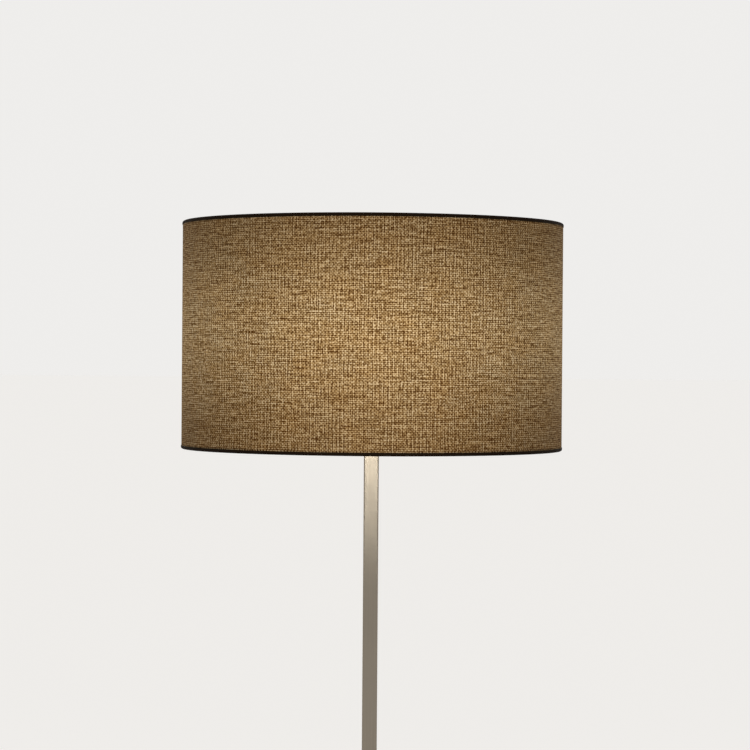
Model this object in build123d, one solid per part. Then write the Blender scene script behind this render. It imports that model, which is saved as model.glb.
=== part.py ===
from build123d import *

import math
import os

# Floor lamp with a straight square stem and a drum shade, in millimetres.
# +Z is up, +Y is the back of the lamp, and the origin is on the floor under the stem.
#
# The stem is three square tubes joined end to end by hollow threaded pipes. It stands on a pressed
# cover over a cast weight, and carries a lampholder with a turn-knob switch and a wire harp. The
# shade hangs from a swivel stud on the harp and is clamped there by a finial.

# ---- Driving dimensions ----

# Whole lamp
overall_height = 1575.0  # floor to the upper rim of the shade
shade_diameter = 508.0
shade_height = 302.0

# Stem
tube_side = 20.0
tube_wall = 1.5
tube_corner = 1.8  # outer corner radius of the square tube
tube_end_chamfer = 0.4
upper_tube_length = 440.0
plug_length = 14.0
stem_cap_thickness = 3.0
stem_cap_chamfer = 0.8

# Threaded pipe that joins the stem, and the leads inside it
pipe_diameter = 9.8
pipe_bore = 7.0
pipe_end_gap = 1.0  # how far a pipe stops short of the inner end of a plug
thread_gap = 0.05  # radial gap of every plain-modelled thread
fit_gap = 0.1  # gap all round a piece that is pushed into another
lead_diameter = 2.0
lead_spacing = 2.6
lead_bend = 4.0

# Base
base_side = 285.0
base_corner = 14.0
cover_wall = 1.5
cover_edge = 3.5  # outer radius of the pressed top edge
weight_thickness = 9.0
weight_side_gap = 1.0
weight_chamfer = 3.0
cavity_height = 12.0  # room under the weight for the nut and the wiring
plate_thickness = 1.5
pad_height = 3.0
pad_diameter = 28.0
pad_inset = 26.0  # pad centre to the side of the base
boss_diameter = 18.0
boss_inset = 52.0  # screw centre to the side of the base
base_screw_diameter = 4.0
base_screw_length = 9.0
base_screw_head_diameter = 7.6
base_screw_head_height = 1.8
nut_flats = 14.0
nut_height = 4.0
nut_thread_left = 1.5  # pipe that shows under the nut
clamp_washer_diameter = 38.0
clamp_washer_thickness = 2.0

# Cord bush in the back of the base
cord_bore = 6.8
bush_wall = 1.7
bush_flange_diameter = 14.0
bush_flange_thickness = 2.0
bush_collar_rise = 0.5
bush_length = 12.0

# Terminal block under the weight
block_width = 20.0
block_depth = 16.0
block_height = 9.6
block_back_gap = 20.0  # from the block to the inner end of the bush
block_pole_spacing = 9.0
block_wire_bore = 3.2
block_screw_diameter = 3.0
block_screw_pitch = 8.0

# Lampholder
hub_height = 9.0
hub_wall = 2.5
holder_cap_height = 25.0
holder_cap_wall = 0.8
holder_cap_round = 8.0
bead_radius = 0.9
holder_shell_wall = 0.5
holder_shell_top = 64.0
sleeve_wall = 0.6
sleeve_short = 2.0  # how far the insulating sleeve stops below the rim of the shell
holder_body_bottom = 19.0
holder_body_height = 19.0
screw_shell_wall = 0.4
screw_shell_height = 25.0
contact_width = 5.0
contact_thickness = 0.5
contact_rise = 3.2
contact_foot = 5.0
terminal_recess_depth = 5.0
terminal_recess_width = 9.0
terminal_recess_height = 12.0
terminal_screw_height = 6.0  # screw axis above the bottom of the body
terminal_head_diameter = 6.4
terminal_head_thickness = 2.2
terminal_shank_diameter = 3.4
terminal_shank_length = 4.0
grub_screw_diameter = 3.4
grub_screw_out = 3.5
grub_head_diameter = 5.0
grub_head_thickness = 1.6

# Turn-knob switch
switch_height = 12.0  # shaft axis above the bottom of the lampholder body
shaft_diameter = 4.0
shaft_running_gap = 0.05
shaft_depth = 10.0  # how far the shaft goes into the body
knob_gap = 2.0
knob_collar_diameter = 13.0
knob_collar_length = 3.5
knob_length = 13.0
knob_grip_thickness = 5.0
knob_grip_round = 2.0
knob_slot_gap = 1.5

# Bulb
bulb_cap_diameter = 26.1
bulb_cap_wall = 0.4
bulb_thread_gap = 0.3
bulb_length = 108.0
bulb_diameter = 60.0
bulb_glass_wall = 0.8
bulb_neck_diameter = 27.8
bulb_neck_length = 4.0
bulb_skirt_height = 4.2
bulb_skirt_flare = 1.5
bulb_cap_height = 26.5
bulb_foot_height = 4.2  # black glass insulator and tip under the cap's threads
bulb_tip_diameter = 9.6
bulb_tip_height = 1.4
bulb_seat_gap = 0.3
mount_tube_diameter = 9.0
mount_tube_height = 46.0
support_diameter = 0.9
filament_diameter = 1.2
filament_span = 26.0
filament_rise = 22.0

# Harp
harp_height = 254.0  # saddle to the top of the harp
harp_width = 114.0  # between the centrelines of the legs at their widest
harp_wire = 4.0
saddle_width = 12.0
saddle_thickness = 1.5
saddle_bend = 1.5
saddle_shoulder = 2.2
tab_width = 4.4
tab_height = 12.0
tab_to_leg = 0.15
leg_clearance = 11.5  # leg centreline to the outside of the lampholder cap
leg_straight = 45.0
leg_flare_rise = 40.0
harp_widest_top = 185.0
bridge_length = 18.0
bridge_width = 9.0
bridge_height = 8.0
bridge_round = 1.2
ferrule_bore = 7.6
ferrule_wall = 0.9
ferrule_height = 12.0
ferrule_gap = 0.1

# Swivel and finial
swivel_pin_diameter = 5.0
swivel_gap = 0.1
swivel_shoulder_diameter = 15.0
swivel_shoulder_thickness = 2.0
swivel_head_diameter = 8.6
swivel_head_thickness = 1.5
stud_diameter = 6.35
stud_length = 13.0
stud_running_gap = 0.05
finial_diameter = 16.0
finial_height = 17.5
finial_neck_diameter = 9.0
finial_gap = 0.1
finial_wall_over_stud = 2.0

# Shade
rim_wire = 2.6
rim_wire_gap = 0.25  # between the wire and the layers round it
arm_wire = 3.2
fabric_thickness = 0.65
liner_thickness = 0.5
layer_gap = 0.05
tape_thickness = 0.5
tape_outside = 4.5  # height of the rim tape on the outside of the shade
tape_inside = 12.0  # and on the inside
tape_wrap_angle = 230.0  # how far the tape goes round the wire before it turns down
tape_wrap_flat = 22.5  # it goes round in flats of this angle
spider_drop = 20.0  # shade's upper rim to the underside of the spider washer
spider_washer_diameter = 32.0
spider_washer_thickness = 1.5
spider_washer_hole_gap = 0.2
arm_count = 3
arm_first_angle = 90.0
arm_bend_inset = 16.0
arm_bend_radius = 8.0
arm_notch_gap = 0.4

# ---- Places worked out from the driving dimensions ----

# Base, from the floor up
plate_bottom = pad_height
plate_top = plate_bottom + plate_thickness
weight_bottom = plate_top + cavity_height
weight_top = weight_bottom + weight_thickness
base_top = weight_top + cover_wall
cavity_middle = (plate_top + weight_bottom) / 2
base_inside = base_side - 2 * cover_wall

# Shade and harp, from the upper rim down
shade_bottom = overall_height - shade_height
shade_radius = shade_diameter / 2
spider_bottom = overall_height - spider_drop
bridge_top = spider_bottom - swivel_shoulder_thickness - swivel_gap
saddle_top = bridge_top - harp_height
saddle_bottom = saddle_top - saddle_thickness
stem_top = saddle_bottom - stem_cap_thickness

# Stem
tube_bore = tube_side - 2 * tube_wall
pipe_radius = pipe_diameter / 2
threaded_bore = pipe_radius + thread_gap
lower_tube_length = (stem_top - base_top - upper_tube_length) / 2
lower_joint = base_top + lower_tube_length
upper_joint = lower_joint + lower_tube_length
nut_top = weight_bottom - clamp_washer_thickness
pipe_bottom = nut_top - nut_height - nut_thread_left

# Lampholder, from the bulb's cap outwards
bulb_cap_radius = bulb_cap_diameter / 2
screw_shell_bore = bulb_cap_radius + bulb_thread_gap
screw_shell_radius = screw_shell_bore + screw_shell_wall
holder_body_radius = screw_shell_radius + fit_gap
sleeve_bore = holder_body_radius + 3 * fit_gap
sleeve_radius = sleeve_bore + sleeve_wall
holder_shell_bore = sleeve_radius + fit_gap
holder_shell_radius = holder_shell_bore + holder_shell_wall
holder_cap_bore = holder_shell_radius + fit_gap
holder_cap_radius = holder_cap_bore + holder_cap_wall
hub_radius = threaded_bore + hub_wall
body_bottom = saddle_top + holder_body_bottom
body_top = body_bottom + holder_body_height
switch_axis = body_bottom + switch_height
pipe_top = saddle_top + hub_height + pipe_end_gap
terminal_axis = body_bottom + terminal_screw_height
shaft_radius = shaft_diameter / 2
slot_half_width = shaft_radius + knob_slot_gap

# Bulb
tip_bottom = body_top + contact_rise + contact_thickness + bulb_seat_gap
cap_thread_bottom = tip_bottom + bulb_foot_height
cap_top = tip_bottom + bulb_cap_height
globe_radius = bulb_diameter / 2
globe_centre = tip_bottom + bulb_length - globe_radius
skirt_bottom = cap_top - bulb_skirt_height
neck_bottom = cap_top - bulb_skirt_height / 2
bulb_neck_radius = bulb_neck_diameter / 2
skirt_radius = bulb_cap_radius + bulb_skirt_flare

# Harp
leg_x = holder_cap_radius + leg_clearance
tab_x = leg_x - harp_wire / 2 - tab_to_leg - saddle_thickness / 2
ferrule_x = (leg_x + harp_wire / 2 + tab_x - saddle_thickness / 2) / 2
ferrule_bottom = saddle_top + saddle_shoulder + ferrule_gap
harp_wire_top = bridge_top - bridge_height / 2

# Swivel and finial
stud_radius = stud_diameter / 2
washer_top = spider_bottom + spider_washer_thickness
stud_top = spider_bottom + stud_length
finial_bottom = washer_top + finial_gap

# Shade's rims: a tape goes over the edge of the fabric and its liner, and round a wire ring inside them
ring_wire_radius = rim_wire / 2
arm_radius = arm_wire / 2
fabric_radius = shade_radius - tape_thickness - layer_gap
fabric_bore = fabric_radius - fabric_thickness
liner_radius = fabric_bore - layer_gap
liner_bore = liner_radius - liner_thickness
ring_radius = liner_bore - rim_wire_gap - ring_wire_radius
tape_bore = (shade_radius - tape_thickness - (ring_radius - ring_wire_radius - rim_wire_gap)) / 2
tape_fold = tape_bore + tape_thickness
tape_radius = shade_radius - tape_fold
top_fold_height = overall_height - tape_fold
bottom_fold_height = shade_bottom + tape_fold
arm_height = spider_bottom + spider_washer_thickness / 2
arm_bend_at = ring_radius - arm_bend_inset


# ---- Helpers ----


def rod(radius, bottom, top, x=0.0, y=0.0):
    """An upright cylinder between two heights."""
    return Pos(x, y, bottom) * Cylinder(radius, top - bottom, align=(Align.CENTER, Align.CENTER, Align.MIN))


def pipe(radius, bore, bottom, top, x=0.0, y=0.0):
    """An upright tube between two heights."""
    return rod(radius, bottom, top, x, y) - rod(bore, bottom, top, x, y)


def rod_along_y(radius, start, end, x, z):
    """A cylinder along Y between two depths."""
    return Pos(x, start, z) * Rot(-90, 0, 0) * Cylinder(
        radius, end - start, align=(Align.CENTER, Align.CENTER, Align.MIN)
    )


def block(width, depth, bottom, top, x=0.0, y=0.0):
    """A box centred on x and y, between two heights."""
    return Pos(x, y, bottom) * Box(width, depth, top - bottom, align=(Align.CENTER, Align.CENTER, Align.MIN))


def rounded_slab(side, corner, bottom, top):
    """A square slab with rounded upright edges, between two heights."""
    return Pos(0, 0, bottom) * extrude(RectangleRounded(side, side, corner), top - bottom)


def turned(*outline):
    """A solid turned about Z from the closed outline of its half section, as lines and arcs."""
    return revolve(Plane.XZ * make_face(outline), Axis.Z, 360)


def turned_polygon(points):
    """A solid turned about Z from the straight-sided half section with these corners."""
    return turned(*Polyline(*points, close=True).edges())


def bent_wire(points, radii, radius):
    """A round wire along straight runs joined by tangent arcs, one radius for each inner point."""
    route = FilletPolyline(*points, radius=radii)
    section = Plane(origin=route @ 0, z_dir=route % 0) * Circle(radius)
    return sweep(section, path=route)


def corner_places(inset):
    """The four places at this distance inside the sides of the base."""
    reach = base_side / 2 - inset
    return [(sx * reach, sy * reach) for sy in (-1, 1) for sx in (-1, 1)]


# ---- Base ----


def base_cover():
    """Pressed steel cover: the top and the four sides, with holes for the pipe and the cord bush."""
    outside = rounded_slab(base_side, base_corner, plate_bottom, base_top)
    outside = fillet(outside.faces().sort_by(Axis.Z)[-1].edges(), cover_edge)
    inside = rounded_slab(base_inside, base_corner - cover_wall, plate_bottom, weight_top)
    inside = fillet(inside.faces().sort_by(Axis.Z)[-1].edges(), cover_edge - cover_wall)
    pipe_hole = rod(pipe_radius + fit_gap, weight_top, base_top)
    bush_hole = rod_along_y(bush_radius() + fit_gap, base_inside / 2 - 1, base_side / 2 + 1, 0, cavity_middle)
    return outside - inside - pipe_hole - bush_hole


def base_weight():
    """Cast iron weight: a slab with four bosses that stand on the bottom plate."""
    side = base_inside - 2 * weight_side_gap
    slab = rounded_slab(side, base_corner, weight_bottom, weight_top)
    slab = chamfer(slab.faces().sort_by(Axis.Z)[-1].edges(), weight_chamfer)
    casting = slab - rod(pipe_radius + fit_gap, weight_bottom, weight_top)
    for x, y in corner_places(boss_inset):
        casting += rod(boss_diameter / 2, plate_top, weight_bottom + 1, x, y)
    screw_hole = base_screw_diameter / 2 + thread_gap
    for x, y in corner_places(boss_inset):
        casting -= rod(screw_hole, plate_top, plate_top + base_screw_length, x, y)
    return casting


def base_plate():
    """Sheet steel plate that closes the base from below."""
    plate = rounded_slab(base_inside - 2 * fit_gap, base_corner - cover_wall, plate_bottom, plate_top)
    for x, y in corner_places(boss_inset):
        plate -= rod(base_screw_diameter / 2 + 2 * fit_gap, plate_bottom, plate_top, x, y)
    return plate


def base_screw(x, y):
    """Pan-head screw through the plate into a boss of the weight, with a cross slot."""
    half = base_screw_diameter / 2
    shank = rod(half, plate_bottom, plate_top + base_screw_length - 1, x, y)
    head_bottom = plate_bottom - base_screw_head_height
    head = rod(base_screw_head_diameter / 2, head_bottom, plate_bottom, x, y)
    head = chamfer(head.faces().sort_by(Axis.Z)[0].edges(), base_screw_head_height / 3)
    slot_depth = base_screw_head_height / 2
    slot = block(half * 2, half / 2, head_bottom, head_bottom + slot_depth, x, y)
    slot += block(half / 2, half * 2, head_bottom, head_bottom + slot_depth, x, y)
    return shank + head - slot


def foot_pad(x, y):
    """Round felt pad under the plate."""
    pad = rod(pad_diameter / 2, 0, pad_height, x, y)
    return chamfer(pad.faces().sort_by(Axis.Z)[0].edges(), pad_height / 6)


def clamp_washer():
    """Wide washer that spreads the nut's load on the weight."""
    return pipe(clamp_washer_diameter / 2, pipe_radius + fit_gap, nut_top, weight_bottom)


def clamp_nut():
    """Hexagon nut that clamps the stem to the weight and the cover."""
    hexagon = RegularPolygon(nut_flats / 2, 6, major_radius=False)
    blank = Pos(0, 0, nut_top - nut_height) * extrude(hexagon, nut_height)
    return blank - rod(threaded_bore, nut_top - nut_height, nut_top)


def bush_radius():
    """Outside radius of the part of the cord bush that passes through the cover."""
    return cord_bore / 2 + bush_wall


def cord_bush():
    """Snap-in plastic bush: an outer flange, a neck through the cover and a collar inside it."""
    wall_inside, wall_outside = base_inside / 2, base_side / 2
    flange = rod_along_y(
        bush_flange_diameter / 2, wall_outside, wall_outside + bush_flange_thickness, 0, cavity_middle
    )
    flange = fillet(flange.faces().sort_by(Axis.Y)[-1].edges(), bush_flange_thickness / 2)
    inner_end = wall_outside + bush_flange_thickness - bush_length
    neck = rod_along_y(bush_radius(), inner_end, wall_outside, 0, cavity_middle)
    collar = rod_along_y(bush_radius() + bush_collar_rise, wall_inside - 2, wall_inside, 0, cavity_middle)
    bore = rod_along_y(cord_bore / 2, inner_end, wall_outside + bush_flange_thickness, 0, cavity_middle)
    return flange + neck + collar - bore


def block_back():
    """Depth of the terminal block's back face."""
    return base_side / 2 + bush_flange_thickness - bush_length - block_back_gap


def block_wire_height():
    """Height of the wire holes through the terminal block."""
    return weight_bottom - block_height * 0.6


def terminal_block():
    """Two-pole block screwed up under the weight, with a wire hole through each pole."""
    middle = block_back() - block_depth / 2
    bottom = weight_bottom - block_height
    body = block(block_width, block_depth, bottom, weight_bottom, 0, middle)
    body = fillet(body.edges().filter_by(Axis.Z), 1.5)
    body -= block(block_width / 8, block_depth * 0.6, bottom, bottom + block_height / 4, 0, middle)
    for x in block_poles():
        body -= rod_along_y(block_wire_bore / 2, middle - block_depth, middle + block_depth, x, block_wire_height())
        for y in block_screw_rows():
            body -= rod(block_screw_diameter / 2 + thread_gap, bottom, block_wire_height(), x, y)
    return body


def block_poles():
    """The two poles' places across the terminal block."""
    return (-block_pole_spacing / 2, block_pole_spacing / 2)


def block_screw_rows():
    """The two rows of clamp screws along the terminal block."""
    middle = block_back() - block_depth / 2
    return (middle - block_screw_pitch / 2, middle + block_screw_pitch / 2)


def block_screw(x, y):
    """Slotted clamp screw in the terminal block."""
    bottom = weight_bottom - block_height + 0.5
    half = block_screw_diameter / 2
    screw = rod(half, bottom, block_wire_height() - lead_diameter / 2 - thread_gap, x, y)
    return screw - block(half * 3, half / 2, bottom, bottom + half / 2, x, y)


# ---- Stem ----


def stem_tube(bottom, top):
    """One square tube of the stem, with its outer end edges broken."""
    outside = rounded_slab(tube_side, tube_corner, bottom, top)
    ends = outside.faces().sort_by(Axis.Z)
    outside = chamfer(ends[0].edges() + ends[-1].edges(), tube_end_chamfer)
    return outside - rounded_slab(tube_bore, tube_corner / 4, bottom, top)


def end_plug(bottom):
    """Square steel plug welded in a tube's end, tapped for the pipe."""
    side = tube_bore - 2 * fit_gap
    slug = rounded_slab(side, tube_corner / 2, bottom, bottom + plug_length)
    return slug - rod(threaded_bore, bottom, bottom + plug_length)


def threaded_pipe(bottom, top):
    """Hollow threaded pipe, its ends chamfered."""
    chamfered = rod(pipe_radius, bottom, top)
    ends = chamfered.faces().sort_by(Axis.Z)
    chamfered = chamfer(ends[0].edges() + ends[-1].edges(), (pipe_diameter - pipe_bore) / 8)
    return chamfered - rod(pipe_bore / 2, bottom, top)


def stem_cap():
    """Square cap that closes the top of the stem under the harp saddle."""
    cap = rounded_slab(tube_side, tube_corner, stem_top, saddle_bottom)
    cap = chamfer(cap.faces().sort_by(Axis.Z)[-1].edges(), stem_cap_chamfer)
    return cap - rod(pipe_radius + fit_gap, stem_top, saddle_bottom)


# ---- Leads inside the lamp ----


def inner_lead(side):
    """One insulated lead, from the terminal block along the base, up the stem, to its screw."""
    x = side * lead_spacing / 2
    floor_run = plate_top + lead_diameter / 2 + 0.5
    block_front = block_back() - block_depth
    pole = side * block_pole_spacing / 2
    outer = side * (holder_body_radius - terminal_recess_depth + terminal_head_thickness / 2)
    points = [
        (pole, block_front + 3, block_wire_height()),
        (pole, block_front - 12, block_wire_height()),
        (x, block_front - 34, floor_run),
        (x, 0, floor_run),
        (x, 0, pipe_top),
        (outer, 0, pipe_top + 7),
        (outer, 0, terminal_axis - terminal_shank_diameter / 2 - lead_diameter / 8),
    ]
    return bent_wire(points, [8.0, 12.0, lead_bend, 3.0, 1.2], lead_diameter / 2)


# ---- Lampholder ----


def holder_cap():
    """Spun cup of the lampholder with its threaded hub."""
    floor, rim = saddle_top + hub_height - 2, saddle_top + holder_cap_height
    bend = holder_cap_radius - holder_cap_round
    bend_height = floor + holder_cap_round
    inner_round = holder_cap_round - holder_cap_wall
    cup = turned(
        Line((threaded_bore, saddle_top), (hub_radius, saddle_top)),
        Line((hub_radius, saddle_top), (hub_radius, floor)),
        Line((hub_radius, floor), (bend, floor)),
        CenterArc((bend, bend_height), holder_cap_round, -90, 90),
        Line((holder_cap_radius, bend_height), (holder_cap_radius, rim)),
        Line((holder_cap_radius, rim), (holder_cap_bore, rim)),
        Line((holder_cap_bore, rim), (holder_cap_bore, bend_height)),
        CenterArc((bend, bend_height), inner_round, 0, -90),
        Line((bend, floor + holder_cap_wall), (hub_radius, floor + holder_cap_wall)),
        Line((hub_radius, floor + holder_cap_wall), (hub_radius, saddle_top + hub_height)),
        Line((hub_radius, saddle_top + hub_height), (threaded_bore, saddle_top + hub_height)),
        Line((threaded_bore, saddle_top + hub_height), (threaded_bore, saddle_top)),
    )
    bead = Pos(0, 0, rim - bead_radius) * Torus(holder_cap_radius - bead_radius / 2, bead_radius)
    cup += bead - rod(holder_cap_bore, floor, rim + bead_radius)
    grub_hole = rod_along_y(
        grub_screw_diameter / 2 + thread_gap, threaded_bore / 2, hub_radius + 1, 0, grub_height()
    )
    return cup - grub_hole


def grub_height():
    """Height of the grub screw in the hub."""
    return saddle_top + (hub_height - 2) / 2


def grub_screw():
    """Screw in the hub that locks the lampholder on the pipe."""
    out = hub_radius + grub_screw_out
    shank = rod_along_y(grub_screw_diameter / 2, pipe_radius + fit_gap, out, 0, grub_height())
    head = rod_along_y(
        grub_head_diameter / 2, out - grub_head_thickness, out, 0, grub_height()
    )
    slot = Pos(0, out, grub_height()) * Box(grub_head_diameter + 1, grub_head_thickness, 0.8)
    return shank + head - slot


def knob_slot(bottom):
    """The cutter for the switch slot: open at the bottom and round at the top, on the front side."""
    depth = holder_cap_radius + 5
    upright = block(2 * slot_half_width, depth, bottom, switch_axis, 0, -depth / 2)
    return upright + rod_along_y(slot_half_width, -depth, 0, 0, switch_axis)


def holder_shell():
    """Metal shell of the lampholder, rolled at its mouth and slotted for the switch shaft."""
    bottom, top = body_bottom - fit_gap, saddle_top + holder_shell_top
    shell = pipe(holder_shell_radius, holder_shell_bore, bottom, top)
    bead = Pos(0, 0, top - bead_radius) * Torus(holder_shell_radius - bead_radius / 2, bead_radius)
    shell += bead - rod(holder_shell_bore, bottom, top + bead_radius)
    return shell - knob_slot(bottom)


def insulating_sleeve():
    """Fibre sleeve between the shell and the live pieces."""
    top = saddle_top + holder_shell_top - sleeve_short
    return pipe(sleeve_radius, sleeve_bore, body_bottom, top) - knob_slot(body_bottom)


def holder_body():
    """Moulded switch body with a bore for the shaft and a recess each side for a terminal."""
    body = rod(holder_body_radius, body_bottom, body_top)
    body = chamfer(body.faces().sort_by(Axis.Z)[0].edges(), 1)
    floor_x = holder_body_radius - terminal_recess_depth
    for side in (-1, 1):
        recess_x = side * (floor_x + terminal_recess_depth)
        body -= block(
            2 * terminal_recess_depth,
            terminal_recess_width,
            body_bottom,
            body_bottom + terminal_recess_height,
            recess_x,
        )
        body -= Pos(side * floor_x, 0, terminal_axis) * Rot(0, 90, 0) * Cylinder(
            terminal_shank_diameter / 2 + thread_gap, 2 * terminal_shank_length
        )
    bore = shaft_radius + shaft_running_gap
    body -= rod_along_y(bore, -holder_body_radius, shaft_depth - holder_body_radius, 0, switch_axis)
    return body


def terminal_screw(side):
    """Terminal screw in the side recess of the switch body."""
    floor_x = holder_body_radius - terminal_recess_depth
    shank_end = floor_x + terminal_head_thickness
    shank_length = terminal_shank_length + terminal_head_thickness - 0.5
    shank = Pos(side * (shank_end - shank_length / 2), 0, terminal_axis) * Rot(0, 90, 0) * Cylinder(
        terminal_shank_diameter / 2, shank_length
    )
    head_x = side * (floor_x + terminal_head_thickness * 1.5)
    head = Pos(head_x, 0, terminal_axis) * Rot(0, 90, 0) * Cylinder(
        terminal_head_diameter / 2, terminal_head_thickness
    )
    slot_x = side * (floor_x + terminal_head_thickness * 2)
    slot = Pos(slot_x, 0, terminal_axis) * Box(terminal_head_thickness, terminal_head_diameter + 1, 0.8)
    return shank + head - slot


def screw_shell():
    """Thin metal shell that takes the bulb's thread, with a turned-in flange on the body."""
    wall = pipe(screw_shell_radius, screw_shell_bore, body_top, body_top + screw_shell_height)
    flange = pipe(screw_shell_radius, screw_shell_bore / 2, body_top, body_top + screw_shell_wall)
    return wall + flange


def centre_contact():
    """Bent strip under the bulb's tip: a foot on the body and a sprung tongue."""
    rise = contact_rise
    under = Polyline(
        (-contact_foot, 0), (0, 0), (contact_foot * 0.6, rise * 0.8), (contact_foot * 0.2, rise),
        (-contact_foot * 0.6, rise),
    )
    strip = trace(under, contact_thickness)
    lifted = Pos(0, 0, body_top + contact_thickness / 2) * (Plane.XZ * strip)
    return extrude(lifted, contact_width / 2, both=True)


def switch_shaft():
    """Shaft of the turn-knob switch."""
    outer_end = holder_shell_radius + knob_gap + knob_length - knob_collar_length
    inner_end = holder_body_radius - shaft_depth + 0.5
    return rod_along_y(shaft_radius, -outer_end, -inner_end, 0, switch_axis)


def switch_knob():
    """Moulded knob: a round collar and a flat finger grip with rounded edges."""
    start = holder_shell_radius + knob_gap
    end = start + knob_length
    half = knob_collar_diameter / 2
    collar = rod_along_y(half, -start - knob_collar_length, -start, 0, switch_axis)
    collar = fillet(collar.faces().sort_by(Axis.Y)[0].edges(), knob_collar_length / 4)
    grip_length = end - start - knob_collar_length / 2
    grip = Pos(0, grip_length / 2 - end, switch_axis) * Box(knob_collar_diameter - 1, grip_length, knob_grip_thickness)
    grip = fillet(grip.faces().sort_by(Axis.Y)[0].edges(), knob_grip_round)
    hole_end = end - knob_collar_length + fit_gap
    hole = rod_along_y(shaft_radius + thread_gap, -hole_end, -start, 0, switch_axis)
    return collar + grip - hole


# ---- Bulb ----


def globe_outline(wall):
    """The bulb's outline, moved in by wall: neck, tangent hollow curve, globe. Returns its edges."""
    neck, globe = bulb_neck_radius - wall, globe_radius - wall
    neck_top = neck_bottom + bulb_neck_length
    rise = globe_centre - neck_top
    hollow = (rise**2 + bulb_neck_radius**2 - globe_radius**2) / (2 * (globe_radius - bulb_neck_radius))
    hollow_x = bulb_neck_radius + hollow
    lean = math.degrees(math.atan2(rise, hollow_x))
    return [
        Line((neck, neck_bottom), (neck, neck_top)),
        CenterArc((hollow_x, neck_top), hollow + wall, 180, -lean),
        CenterArc((0, globe_centre), globe, -lean, 90 + lean),
    ]


def bulb_glass():
    """Frosted glass envelope, open at the neck."""
    crown = globe_centre + globe_radius
    inner_neck = bulb_neck_radius - bulb_glass_wall
    return turned(
        *globe_outline(0),
        Line((0, crown), (0, crown - bulb_glass_wall)),
        *globe_outline(bulb_glass_wall),
        Line((inner_neck, neck_bottom), (bulb_neck_radius, neck_bottom)),
    )


def bulb_cap():
    """Metal screw cap with a flared skirt round the glass."""
    inner = bulb_cap_radius - bulb_cap_wall
    skirt_inner = skirt_radius - bulb_cap_wall
    lip = cap_top - bulb_skirt_height / 2
    return turned_polygon([
        (inner, cap_thread_bottom), (bulb_cap_radius, cap_thread_bottom), (bulb_cap_radius, skirt_bottom),
        (skirt_radius, lip), (skirt_radius, cap_top), (skirt_inner, cap_top), (skirt_inner, lip),
        (inner, skirt_bottom),
    ])


def bulb_foot():
    """Black glass insulator between the cap and the tip."""
    tip = bulb_tip_diameter / 2
    inner = bulb_cap_radius - bulb_cap_wall - layer_gap
    upper = tip_bottom + bulb_tip_height
    return turned_polygon([
        (0, upper), (tip, upper), (bulb_cap_radius, cap_thread_bottom), (inner, cap_thread_bottom),
        (inner, cap_thread_bottom + 2), (0, cap_thread_bottom + 2),
    ])


def bulb_tip():
    """Soldered contact at the bottom of the bulb."""
    tip = rod(bulb_tip_diameter / 2, tip_bottom, tip_bottom + bulb_tip_height)
    return fillet(tip.faces().sort_by(Axis.Z)[0].edges(), bulb_tip_height * 0.6)


def bulb_mount():
    """Glass stem inside the bulb: a flare sealed to the neck and a tube that carries the wires."""
    tube, flare = mount_tube_diameter / 2, bulb_neck_radius - bulb_glass_wall - fit_gap
    top = neck_bottom + mount_tube_height
    mount = turned_polygon([
        (0, neck_bottom), (flare, neck_bottom), (flare, neck_bottom + 1), (tube, neck_bottom + flare),
        (tube * 0.8, top), (0, top),
    ])
    for side in (-1, 1):
        mount -= rod(support_diameter / 2 + thread_gap, support_foot(), top, side * mount_tube_diameter / 4)
    return mount


def support_foot():
    """Height of the lower ends of the filament's supports, inside the mount."""
    return neck_bottom + mount_tube_height * 0.9


def filament():
    """Two support wires and the filament arched between them."""
    foot, top = support_foot(), neck_bottom + mount_tube_height + filament_rise
    start, half = mount_tube_diameter / 4, filament_span / 2
    wire = None
    for side in (-1, 1):
        support = bent_wire(
            [(side * start, 0, foot), (side * start, 0, foot + 8), (side * half, 0, top)],
            [4.0],
            support_diameter / 2,
        )
        wire = support if wire is None else wire + support
    arch = ThreePointArc((-half, 0, top), (0, 0, top + half / 3), (half, 0, top))
    coil = sweep(Plane(origin=arch @ 0, z_dir=arch % 0) * Circle(filament_diameter / 2), path=arch)
    return wire + coil


# ---- Harp ----


def harp_saddle():
    """Bent strip under the lampholder with an upturned tab for each leg of the harp."""
    outer = tab_x + saddle_thickness / 2
    shoulder, tab_top = saddle_top + saddle_shoulder, saddle_top + tab_height
    strip = block(2 * outer, saddle_width, saddle_bottom, shoulder)
    hollow = block(2 * (outer - saddle_thickness), saddle_width, saddle_top, shoulder)
    strip -= hollow
    lower_corners = strip.edges().filter_by(Axis.Y).group_by(Axis.Z)[0]
    strip = fillet(lower_corners, saddle_bend)
    for side in (-1, 1):
        tab = block(saddle_thickness, tab_width, saddle_top, tab_top, side * tab_x)
        strip += chamfer(tab.edges().filter_by(Axis.X).group_by(Axis.Z)[-1], tab_width / 4)
    return strip - rod(pipe_radius + fit_gap, saddle_bottom, saddle_top)


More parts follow.
